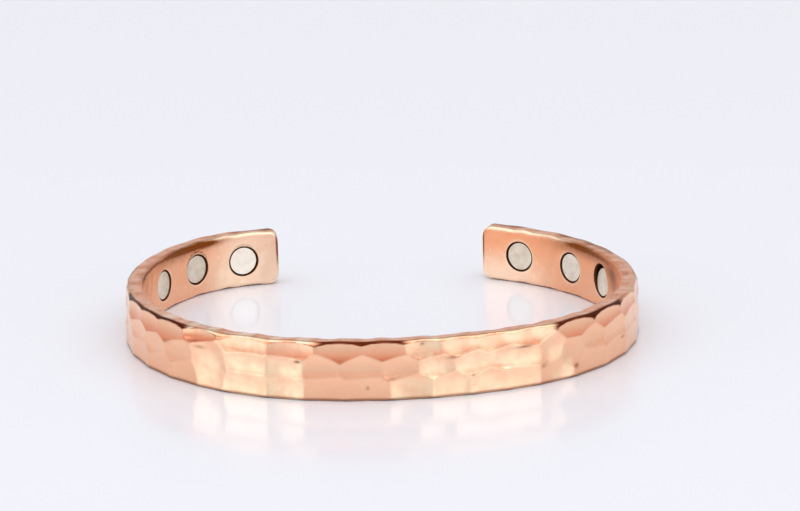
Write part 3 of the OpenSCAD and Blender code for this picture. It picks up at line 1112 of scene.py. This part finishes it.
@dataclass(frozen=True)
class PlatedNickel:
    """Bright nickel plate over a sintered magnet, dulled by rubbing: pale, a little warm, cloudy and
    scratched, and darker at its edge. How brightly each disc is painted stands in for the light it catches.
    """

    bright: str = "#FBF6E9"
    dull: str = "#D6CCB8"
    edge_dark: str = "#3A2A22"
    edge_dark_from: float = 1.92
    cloud: float = 0.5
    cloud_mm: float = 10 / 9
    roughness: float = 0.38
    # Scratches to a millimetre along and across them, drawn coarser than real
    scratches: tuple[float, float, float] = (1.2, 14.0, 1.0)
    scratch_depth_mm: float = 0.006

    def make(self) -> bpy.types.Material:
        """Builds the material from patterns that lie on each disc."""
        finish = Finish("plated_nickel")
        on_disc = finish.note("on_disc", "Vector")
        lot = finish.note("lot")
        place = finish.add("ShaderNodeVectorMath", {0: on_disc, 1: lot}, operation="ADD").outputs[0]
        cloud = finish.noise(place, self.cloud_mm, 5.0)
        # Painted light: each disc is painted brighter or duller for the light it catches, with a cloudy
        # pattern over it.
        share = finish.maths("ADD", finish.note("shine"),
                             finish.ramp(cloud, 0.35, 0.7, self.cloud / 2, -self.cloud / 2))
        colour = finish.mix(finish.ramp(share, 0.0, 1.0), linear(self.dull), self.bright)
        flat = finish.add("ShaderNodeVectorMath", {0: on_disc, 1: (1.0, 1.0, 0.0)}, operation="MULTIPLY")
        out = finish.add("ShaderNodeVectorMath", {0: flat.outputs[0]}, operation="LENGTH").outputs["Value"]
        # Darker towards the disc's edge.
        rim = finish.ramp(out, self.edge_dark_from, self.edge_dark_from + 0.06)
        finish.feed("Base Color", finish.mix(rim, colour, self.edge_dark))
        finish.feed("Roughness", finish.ramp(cloud, 0.0, 1.0, self.roughness - 0.08, self.roughness + 0.1))
        drawn_out = finish.add("ShaderNodeMapping", {"Vector": place, "Scale": self.scratches}).outputs[0]
        finish.relief(finish.noise(drawn_out, 1.0, 4.0), self.scratch_depth_mm)
        return finish.material


@dataclass(frozen=True)
class PaleAcrylic:
    """A sheet of pale acrylic: nearly white from above, and a soft mirror at a low angle."""

    colour: str = "#E3E4ED"
    roughness: float = 0.4
    ior: float = 1.45
    coat: float = 0.65
    coat_roughness: float = 0.12

    def make(self) -> bpy.types.Material:
        """Builds the material."""
        finish = Finish("pale_acrylic", metallic=0.0)
        for name, value in (
                ("Base Color", linear(self.colour)), ("Roughness", self.roughness), ("IOR", self.ior),
                ("Coat Weight", self.coat), ("Coat Roughness", self.coat_roughness)):
            finish.surface.inputs[name].default_value = value
        return finish.material


@dataclass(frozen=True)
class Softbox:
    """A soft light, in metres. Azimuth 0 is the camera's side, and a positive one is to the right of it."""

    name: str
    azimuth: float
    elevation: float
    width: float
    height: float
    radiance: float
    colour: str = "#F4FAFF"
    distance: float = 1.0

    def place(self) -> bpy.types.Object:
        """Hangs the light, facing the cuff."""
        light = bpy.data.lights.new(self.name, "AREA")
        light.shape = "RECTANGLE"
        light.size, light.size_y = self.width, self.height
        light.color = linear(self.colour)[:3]
        light.energy = self.radiance * math.pi * self.width * self.height
        lamp = new_object(self.name, light)
        azimuth, elevation = math.radians(self.azimuth), math.radians(self.elevation)
        way = Vector((math.sin(azimuth) * math.cos(elevation), -math.cos(azimuth) * math.cos(elevation),
                      math.sin(elevation)))
        lamp.location = way * self.distance
        lamp.rotation_euler = way.to_track_quat("Z", "Y").to_euler()
        return lamp


@dataclass
class Studio:
    """The pale glossy floor, the room's soft light and the camera of the photograph."""

    floor_size: float = 6000.0
    aim: tuple[float, float, float] = (2.70, -6.67, 13.08)
    distance: float = 464.9
    elevation: float = 15.55
    roll: float = 1.37
    focal_px: float = 3486.0
    picture_px: int = 800
    sensor: float = 36.0
    room_light: float = 1.68
    # The room's colour at a rise: the sine of the angle above the floor, and the colour there
    far_side: tuple[tuple[float, str], ...] = (
        (0.0, "#B0B0B0"), (0.35, "#B0B0B0"), (0.6, "#949494"), (1.0, "#949494"))
    camera_side: tuple[tuple[float, str], ...] = (
        (0.0, "#C2C2C2"), (0.08, "#C2C2C2"), (0.2, "#9D9D9D"), (0.35, "#7A7A7A"), (0.75, "#FFFFFF"),
        (0.97, "#FFFFFF"))
    softboxes: tuple[Softbox, ...] = (
        Softbox("softbox_left", -58, 16, 0.84, 0.36, 1.55),
        Softbox("softbox_right", 42, 16, 0.86, 0.36, 1.40),
    )

    def floor(self) -> bpy.types.Object:
        """Lays the floor."""
        half = self.floor_size / 2
        corners = [(-half, -half, 0), (half, -half, 0), (half, half, 0), (-half, half, 0)]
        floor = new_mesh("floor", corners, [(0, 1, 2, 3)], {})
        floor.data.materials.append(PaleAcrylic().make())
        return floor

    def room(self) -> None:
        """Fills the room with soft light: a pale ceiling, a light far side and a dim side by the camera."""
        world = bpy.data.worlds.new("room")
        world.use_nodes = True
        bpy.context.scene.world = world
        nodes = Nodes(world.node_tree)
        _, depth, rise = nodes.parts(nodes.add("ShaderNodeTexCoord").outputs["Generated"])
        sides = []
        for name, stops in (("far_side", self.far_side), ("camera_side", self.camera_side)):
            ramp = nodes.add("ShaderNodeValToRGB", {0: rise}, label=name)
            while len(ramp.color_ramp.elements) < len(stops):
                ramp.color_ramp.elements.new(1.0)
            for element, (position, colour) in zip(ramp.color_ramp.elements, stops):
                element.position = position
                element.color = linear(colour)
            sides.append(ramp.outputs[0])
        near = nodes.ramp(depth, 0.7, 0.2, kind="SMOOTHSTEP")
        colour = nodes.add("ShaderNodeMix", {0: near, 6: sides[0], 7: sides[1]}, data_type="RGBA")
        background = nodes.tree.nodes["Background"]
        nodes.tree.links.new(colour.outputs[2], background.inputs["Color"])
        background.inputs["Strength"].default_value = self.room_light

    def camera(self) -> bpy.types.Object:
        """Sets the camera where the photograph was taken from."""
        elevation = math.radians(self.elevation)
        data = bpy.data.cameras.new("camera")
        data.sensor_fit = "HORIZONTAL"
        data.sensor_width = self.sensor
        data.lens = self.focal_px / self.picture_px * self.sensor
        data.clip_start, data.clip_end = 0.01, 20.0
        camera = new_object("camera", data)
        back = Vector((0, -math.cos(elevation), math.sin(elevation)))
        up = Vector((0, math.sin(elevation), math.cos(elevation)))
        turned = Matrix((Vector((1, 0, 0)), up, back)).transposed().to_4x4()
        camera.matrix_world = Matrix.Translation((Vector(self.aim) + self.distance * back) * MM) @ turned \
            @ Matrix.Rotation(math.radians(-self.roll), 4, "Z")
        bpy.context.scene.camera = camera
        return camera

    def build(self) -> None:
        """Sets up camera, floor, room and lights, in the colours of a plain display."""
        self.camera()
        self.floor()
        self.room()
        for softbox in self.softboxes:
            softbox.place()
        bpy.context.scene.view_settings.view_transform = "Standard"


def main() -> None:
    """Builds the studio, the band and the magnets, and hands each piece to the frame."""
    logging.basicConfig(level=logging.INFO, format="%(name)s: %(message)s")
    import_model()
    Studio().build()

    band = Band()
    piece = band.build(HammeredCopper().make(), DrilledCopper().make())
    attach(piece, "root")
    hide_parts("band")
    LOG.info("band: %d faces", len(piece.data.polygons))

    for seat, disc in zip(SEATS, Magnets(band.strip).build(PlatedNickel().make())):
        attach(disc, "root")
        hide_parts(seat.name)
        LOG.info("%s: %d faces", disc.name, len(disc.data.polygons))


if __name__ == "__main__":
    main()
